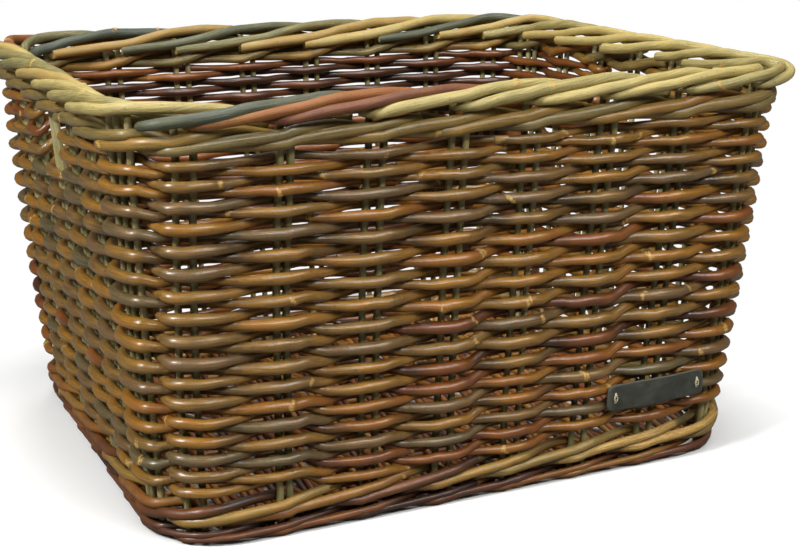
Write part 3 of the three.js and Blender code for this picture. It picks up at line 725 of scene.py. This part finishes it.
# Rolled border: one thick rod from each set. It comes out from under the ones before it with a tight
# bend, climbs along the outside, lies over the top and goes down inside, four sets further on, where it
# is cut off, or sooner over the hand holes. Its course is counted in sets from its bend, and outwards and
# up from the border's middle. It swings out round the front right corner as a bell curve.
border = {"diameter": 7.6, "fine": (14, 2.6), "steps": 8, "drop": 1.6,
          "start": -0.13, "starts": {28: -0.3, 29: 0.4, 0: -0.03, 1: -0.23, 2: -0.2, 3: -0.12},
          "shift": 0.05, "stray": 0.02, "wobble": 0.5,
          "swing": {"out": 7, "place": 7.9, "width": 0.6, "beyond": 3},
          "holeEnd": 3.6, "holeReach": 1.5, "holeCut": 2,
          "course": [[0.0, 0.5, -5.2], [0.05, 5.2, -5.4], [0.13, 9.0, -4.6], [0.3, 10.1, -3.3],
                     [0.6, 10.0, -1.3], [0.9, 9.4, 0.8], [1.2, 8.2, 2.7], [1.5, 6.0, 4.2], [1.8, 3.2, 5.0],
                     [2.1, 0.2, 5.1], [2.4, -3.4, 3.4], [2.7, -6.6, 0.8], [2.95, -8.2, -2.0],
                     [3.3, -9.2, -4.6], [3.7, -9.6, -6.6], [4.05, -9.6, -8.2], [4.3, -9.4, -9.4]],
          "thickness": (0.88, 1.06), "taper": [[0, 0.1, 0.32, 2.6, 3.2], [0.5, 0.72, 1, 1, 1.06]],
          "tone": 0.45, "toneSpread": 0.12, "backSplit": 0.42, "backTone": 0.2,
          "tones": {29: 0.05, 0: 0.84, 1: 0.95, 2: 0.46, 3: 0.4, 4: 0.52, 5: 0.55, 6: 0.36, 7: 0.42},
          "knotLength": 190, "knotChance": 0.2}
random = np.random.default_rng(77)
rods = []
for index in range(setCount):
    course = np.array(border["course"])
    stray = random.uniform(-border["shift"], border["shift"])
    course[1:, 0] += stray + random.uniform(-border["stray"], border["stray"], len(course) - 1)
    course[:, 1:] += random.uniform(-border["wobble"], border["wobble"], (len(course), 2))
    course = course[:len(course) - random.integers(0, 2)]
    if any(abs(index + border["holeEnd"] - hole) < border["holeReach"] for hole in (rightHole, leftHole)):
        course = course[:-border["holeCut"]]
    curve = smoothRows(course, border["steps"])
    place = index + border["starts"].get(index, border["start"]) + curve[:, 0]
    swing = border["swing"]
    bell = np.exp(-((place - swing["place"]) / swing["width"]) ** 2)
    outwards = curve[:, 1] + swing["out"] * bell * (curve[:, 1] > swing["beyond"])
    z = borderLevel - border["drop"] + curve[:, 2]
    path, normal = onWall(wayOf(place, z), z, outwards)
    around = np.arctan2(curve[:, 2], curve[:, 1])
    facing = normal * np.cos(around)[:, None] + np.array([0, 0, 1]) * np.sin(around)[:, None]
    thick = border["diameter"] * random.uniform(*border["thickness"]) / 2
    thick = thick * np.interp(curve[:, 0], *border["taper"])
    back = max(-math.cos(turnRound(index)), 0)
    tone = random.normal(border["tone"], border["toneSpread"])
    tone += border["backTone"] * back * np.sign(tone - border["backSplit"])
    tone = border["tones"].get(index, float(np.clip(tone, 0, 1)))
    knots = someKnots(random, border["knotLength"], border["knotChance"])
    rods.append(makeRod(random, path, facing, thick, tone, border["fine"], knots))
makePiece("border_rods", rods, borderCane, "border_cane", "rolled_border")
print("border made")

# Base: twin sticks run the length, and weavers in pairs cross over one twin and under the next. At the
# front and the back they turn round an edge stick, and in the corners they run on into the foot, as far
# as the corner's circle lets them.
base = {"level": 6.5, "stick": 4.4, "twin": 9.8, "twins": 5, "edge": 5.6, "weaver": 4.5,
        "pairs": 40, "wave": 3.5, "inset": 1.5, "round": 44.0, "clear": 1, "turn": 4.2, "turnBack": 2,
        "footGap": 4, "runOn": 6, "sway": (400, 90, 0.5), "weaverSway": (400, 60, 0.35),
        "steps": 60, "weaverSteps": 8, "fine": (10, 8), "weaverFine": (8, 4),
        "tones": (0.3, 0.8), "weaverTones": (0.55, 1), "edgeTone": 0.6}
random = np.random.default_rng(9)
halfLength = boxOf("base_weave")[1][0]
stickBox = boxOf("base_edge_stick_front")
halfDepth = -stickBox[0][1]
edgeLine = -np.mean(stickBox, axis=0)[1]
twinLines = np.linspace(-edgeLine, edgeLine, base["twins"] + 2)


# Half the length or depth that fits inside the foot at a distance from the middle: the corner's circle
# takes the radius less the square root of its square less that of the step into it
def insideFoot(away, half, otherHalf):
    radius = base["round"]
    step = np.clip(np.abs(away) - (otherHalf - radius), 0, radius)
    return half - radius + np.sqrt(radius ** 2 - step ** 2)


def stickRod(random, y, diameter, tone):
    reach = insideFoot(y, halfLength, halfDepth) - base["clear"]
    x = np.linspace(-reach, reach, base["steps"])
    sway = drift(random, *base["sway"])(x + base["sway"][0] / 2)
    path = np.column_stack([x, y + sway, np.full(len(x), base["level"])])
    return makeRod(random, path, [0, 0, 1], diameter / 2, tone, base["fine"])


inner = []
for line in twinLines[1:-1]:
    for side in (-0.5, 0.5):
        tone = random.uniform(*base["tones"])
        inner.append(stickRod(random, line + side * base["twin"], base["stick"], tone))
span = halfLength - base["inset"]
for cane in range(2 * base["pairs"]):
    place = cane // 2
    x = ((cane + 0.5) / base["pairs"] - 1) * span
    control = []
    for number, y in enumerate(twinLines):
        rise = base["wave"] * (1 if (place + number) % 2 == 0 else -1)
        reach = base["twin"] / 2 + base["clear"]
        if insideFoot(abs(y) + reach, halfLength, halfDepth) > abs(x) + 2 * base["clear"]:
            edge = number in (0, len(twinLines) - 1)
            steps = (0,) if edge else (-reach, reach)
            control += [[y + step, rise] for step in steps]
    first, last = control[0], control[-1]
    lead = [[first[0] + base["turnBack"], -first[1]], [first[0] - base["turn"], 0]]
    tail = [[last[0] + base["turn"], 0], [last[0] - base["turnBack"], -last[1]]]
    reachOut = insideFoot(x, halfDepth, halfLength) - base["footGap"]
    if reachOut > last[0] + base["runOn"]:
        lead, tail = [[-reachOut, 0]], [[reachOut, 0]]
    curve = smoothRows(np.array(lead + control + tail), base["weaverSteps"])
    sway = drift(random, *base["weaverSway"])(curve[:, 0] + base["weaverSway"][0] / 2)
    path = np.column_stack([x + sway, curve[:, 0], base["level"] + curve[:, 1]])
    tone = random.uniform(*base["weaverTones"])
    inner.append(makeRod(random, path, [1, 0, 0], base["weaver"] / 2, tone, base["weaverFine"]))
makePiece("base_weavers", inner, baseCane, "base_cane", "base_weave")
for name, sign in (("front", -1), ("back", 1)):
    rod = stickRod(random, sign * edgeLine, base["edge"], base["edgeTone"])
    makePiece(f"base_stick_{name}", [rod], baseCane, "base_cane", f"base_edge_stick_{name}")
print("base made")

# Oiled leather, dark grey green: a fine pebbled grain, worn paler along its cut edges. Its clouds and
# grains are counted in a millimetre.
leatherLook = {"clouds": 0.09, "grains": 1.1}
leather, tree = newMaterial("tagLeather")
place = addNode(tree, "TexCoord").outputs["Object"]
edge = addNode(tree, "Attribute", attribute_name="pale").outputs["Fac"]
cloud = addNode(tree, "TexNoise", {
    "Vector": place, "Scale": leatherLook["clouds"] * perMetre, "Detail": 5, "Roughness": 0.6})
hide = addNode(tree, "ValToRGB", {"Fac": cloud})
fillRamp(hide, [(0.3, 0x2b2d27), (0.55, 0x393b33), (0.75, 0x4a4c42)])
worn = addNode(tree, "Mix", {"Factor": edge, "A": hide, "B": linearColour(0x43443a)}, data_type="RGBA")
grain = addNode(tree, "TexVoronoi", {"Vector": place, "Scale": leatherLook["grains"] * perMetre})
grained = addNode(tree, "Math", {0: cloud, 1: 0.8, 2: grain}, operation="MULTIPLY_ADD")
grainBump = addNode(tree, "Bump", {"Strength": 0.35, "Distance": 0.0004, "Height": grained})
dull = addNode(tree, "MapRange", {
    "Value": cloud, "From Min": 0.3, "From Max": 0.7, "To Min": 0.5, "To Max": 0.7})
shader = addNode(tree, "BsdfPrincipled", {
    "Base Color": worn.outputs["Result"], "Roughness": dull, "Normal": grainBump})
addNode(tree, "OutputMaterial", {"Surface": shader})

# Waxed linen thread: pale, with the ply's slanting turns, counted in a millimetre
threadLook = {"turns": 0.35}
thread, tree = newMaterial("waxedThread")
unrolled = addNode(tree, "UVMap", uv_map="unrolled")
ply = addNode(tree, "TexWave", {
    "Vector": unrolled, "Scale": threadLook["turns"] * perMetre, "Distortion": 1},
    bands_direction="DIAGONAL").outputs["Fac"]
shades = addNode(tree, "ValToRGB", {"Fac": ply})
fillRamp(shades, [(0.0, 0x7d755a), (0.6, 0xb5ab88), (1.0, 0xd0c8a8)])
plyBump = addNode(tree, "Bump", {"Strength": 0.6, "Distance": 0.0002, "Height": ply})
shader = addNode(tree, "BsdfPrincipled", {"Base Color": shades, "Roughness": 0.75, "Normal": plyBump})
addNode(tree, "OutputMaterial", {"Surface": shader})

# Tag: a leather strip with round corners that bends a little over the weavers under it. Its layers are
# closed rings, each a share of the outline and a share of the thickness deep: face, rim and back.
tag = {"thickness": 2.0, "corner": 4.0, "arcSteps": 6, "points": 96,
       "bend": 1.1, "along": 0.5, "across": 0.35, "acrossLength": 9.0,
       "aside": 2.2, "sunk": 1.8, "tilt": 0.022,
       "layers": [(0.001, 0.0), (0.5, 0.0), (0.9, 0.0), (0.97, 0.06), (1.0, 0.3), (1.0, 0.7), (0.97, 0.94),
                  (0.9, 1.0), (0.5, 1.0), (0.001, 1.0)], "wornFrom": 0.95, "wornDeep": 0.8}
tagBox = boxOf("tag")
tagMiddle = np.mean(tagBox, axis=0)
halfWide, halfTall = np.ptp(tagBox, axis=0)[[0, 2]] / 2
tagFront = tagBox[0][1]


# Outline of the tag in even steps: a rounded rectangle, as straight sides and corner arcs of radius
# times cosine and sine
def tagOutline():
    radius = tag["corner"]
    turnAt = np.linspace(0, math.pi / 2, tag["arcSteps"])
    corners = []
    for quarter, (sideX, sideZ) in enumerate(((1, 1), (-1, 1), (-1, -1), (1, -1))):
        angle = turnAt + quarter * math.pi / 2
        corners.append(np.column_stack([sideX * (halfWide - radius) + radius * np.cos(angle),
                                        sideZ * (halfTall - radius) + radius * np.sin(angle)]))
    outline = np.vstack(corners)
    closed = np.vstack([outline, outline[:1]])
    station = stationsOf(closed)
    even = np.linspace(0, station[-1], tag["points"], endpoint=False)
    return np.column_stack([np.interp(even, station, closed[:, axis]) for axis in range(2)])


# How far the tag bows out at a place on it: a slow wave along it, as a cosine, and one that turns over
# from its upper to its lower edge, as a sine, which follow the weavers under it
def tagBow(x, z):
    along = tag["along"] * np.cos(x * math.pi / halfWide)
    across = tag["across"] * np.sin(x / tag["acrossLength"]) * z / halfTall
    return tag["bend"] * (along + across)


outline = tagOutline()
loops = []
wear = []
for share, deep in tag["layers"]:
    flat = outline * share
    y = tagFront + deep * tag["thickness"] - tagBow(flat[:, 0], flat[:, 1]) + tag["bend"] / 2
    z = tagMiddle[2] - tag["sunk"] + flat[:, 1] + tag["tilt"] * flat[:, 0]
    loops.append(np.column_stack([tagMiddle[0] + tag["aside"] + flat[:, 0], y, z]))
    wear += [float(share > tag["wornFrom"] and deep < tag["wornDeep"])] * len(flat)
loops = np.vstack(loops)
faces = ringFaces(len(tag["layers"]), tag["points"])[:, ::-1]
plate = {"vertices": loops, "faces": faces, "unrolled": loops[:, [0, 2]][faces],
         "tone": np.zeros(len(loops)), "pale": np.array(wear)}
makePiece("tag_leather", [plate], leather, "tag_leather", "tag")

# Ties: each is two turns of thread through an end of the tag, side by side. The course of a turn is how
# far aside it goes, its place from front to back, and the share of half its height.
ties = {"radius": 0.6, "turns": ((-0.7, 0.5), (0.7, -0.4)), "proud": 0.5, "crown": 0.3,
        "bendIn": 2.2, "bendShare": 0.6, "steps": 8, "fine": (8, 0.7), "tone": 0.5}
random = np.random.default_rng(3)
for number in (1, 2):
    tieBox = boxOf(f"tag_tie_{number}")
    tieMiddle = np.mean(tieBox, axis=0)
    along = tieMiddle[0] - tagMiddle[0]
    middle = tieMiddle[2] - tag["sunk"] + tag["tilt"] * along
    half = np.ptp(tieBox, axis=0)[2] / 2 - ties["radius"]
    front = tagFront - ties["proud"] - tagBow(along, 0) + tag["bend"] / 2
    back, bent, share = tieBox[1][1], front + ties["bendIn"], ties["bendShare"]
    turns = []
    for shift, lean in ties["turns"]:
        x = tieMiddle[0] + tag["aside"] + shift
        course = [(0, back, -1), (0, bent, -1), (lean, front, -share), (-lean, front - ties["crown"], 0),
                  (lean, front, share), (0, bent, 1), (0, back, 1)]
        control = np.array([[x + aside, y, middle + part * half] for aside, y, part in course])
        path = smoothRows(control, ties["steps"])
        turns.append(makeRod(random, path, [1, 0, 0], ties["radius"], ties["tone"], ties["fine"]))
    makePiece(f"tie_{number}", turns, thread, "tie_thread", f"tag_tie_{number}")
print("tag made")

# Pale floor that keeps the crate's shadow and fades to white away from it, and a white surround that
# only the camera and the gloss see. Sizes here are in metres.
studio = {"half": 6, "floorLevel": -0.0005, "shadow": (0.2, 0.16, 1), "fadeFrom": 0.02, "fadeTo": 0.3,
          "pale": 0xf6f6f4, "bounce": 0x6c6a65, "light": 0.015, "glossShare": 0.06}
floorMesh = bpy.data.meshes.new("floor")
floorMesh.from_pydata([(x * studio["half"], y * studio["half"], studio["floorLevel"])
                       for x, y in ((-1, -1), (1, -1), (1, 1), (-1, 1))], [], [(0, 1, 2, 3)])
floor = newObject("floor", floorMesh)
floorPaint, tree = newMaterial("floorPaint")
rays = addNode(tree, "LightPath").outputs
paint = addNode(tree, "Mix", {
    "Factor": rays["Is Camera Ray"], "A": linearColour(studio["bounce"]),
    "B": linearColour(studio["pale"])}, data_type="RGBA")
matte = addNode(tree, "BsdfPrincipled", {"Base Color": paint.outputs["Result"], "Roughness": 0.9})
mirrored = addNode(tree, "VectorMath", {0: addNode(tree, "TexCoord").outputs["Object"]},
                   operation="ABSOLUTE")
beyond = addNode(tree, "VectorMath", {0: mirrored, 1: studio["shadow"]}, operation="SUBTRACT")
beyond = addNode(tree, "VectorMath", {0: beyond, 1: (0, 0, 0)}, operation="MAXIMUM")
away = addNode(tree, "VectorMath", {0: beyond}, operation="LENGTH").outputs["Value"]
faded = addNode(tree, "MapRange", {
    "Value": away, "From Min": studio["fadeFrom"], "From Max": studio["fadeTo"]},
    interpolation_type="SMOOTHSTEP")
share = addNode(tree, "Math", {0: faded, 1: rays["Is Camera Ray"]}, operation="MULTIPLY")
glow = addNode(tree, "Emission", {"Color": (1, 1, 1, 1), "Strength": 1})
addNode(tree, "OutputMaterial", {
    "Surface": addNode(tree, "MixShader", {0: share, 1: matte, 2: glow})})
floorMesh.materials.append(floorPaint)

world = bpy.data.worlds.new("studio")
bpy.context.scene.world = world
world.use_nodes = True
tree = world.node_tree
tree.nodes.clear()
rays = addNode(tree, "LightPath").outputs
seen = addNode(tree, "Math", {
    0: rays["Is Glossy Ray"], 1: studio["glossShare"], 2: rays["Is Camera Ray"]},
    operation="MULTIPLY_ADD", use_clamp=True)
strength = addNode(tree, "MapRange", {"Value": seen, "To Min": studio["light"], "To Max": 1.0})
sky = addNode(tree, "Background", {"Color": (1, 1, 1, 1), "Strength": strength})
addNode(tree, "OutputWorld", {"Surface": sky})

# Soft boxes: name, place and aim in metres, width and height, and power
lamps = [
    ("key", (0.45, -1.65, 1.7), (0, 0, 0.12), (2.2, 0.4), 43),
    ("top", (0.1, -0.3, 2.3), (0, 0, 0.2), (0.9, 0.9), 28),
    ("left", (-1.7, -0.55, 1.6), (-0.2, 0, 0.15), (0.5, 0.5), 52),
    ("behind", (0.2, 1.3, 2.4), (0, 0.1, 0.1), (0.8, 0.6), 14),
]
for name, spot, aim, size, power in lamps:
    light = bpy.data.lights.new(name, "AREA")
    light.shape = "RECTANGLE"
    light.size, light.size_y = size
    light.energy = power
    back = np.array(spot) - np.array(aim)
    back /= np.linalg.norm(back)
    beside = np.cross([0, 0, 1], back)
    beside /= np.linalg.norm(beside)
    standAt(newObject(name, light), spot, beside, np.cross(back, beside), back)
bpy.context.scene.view_settings.view_transform = "Standard"
print("stage and lights made")
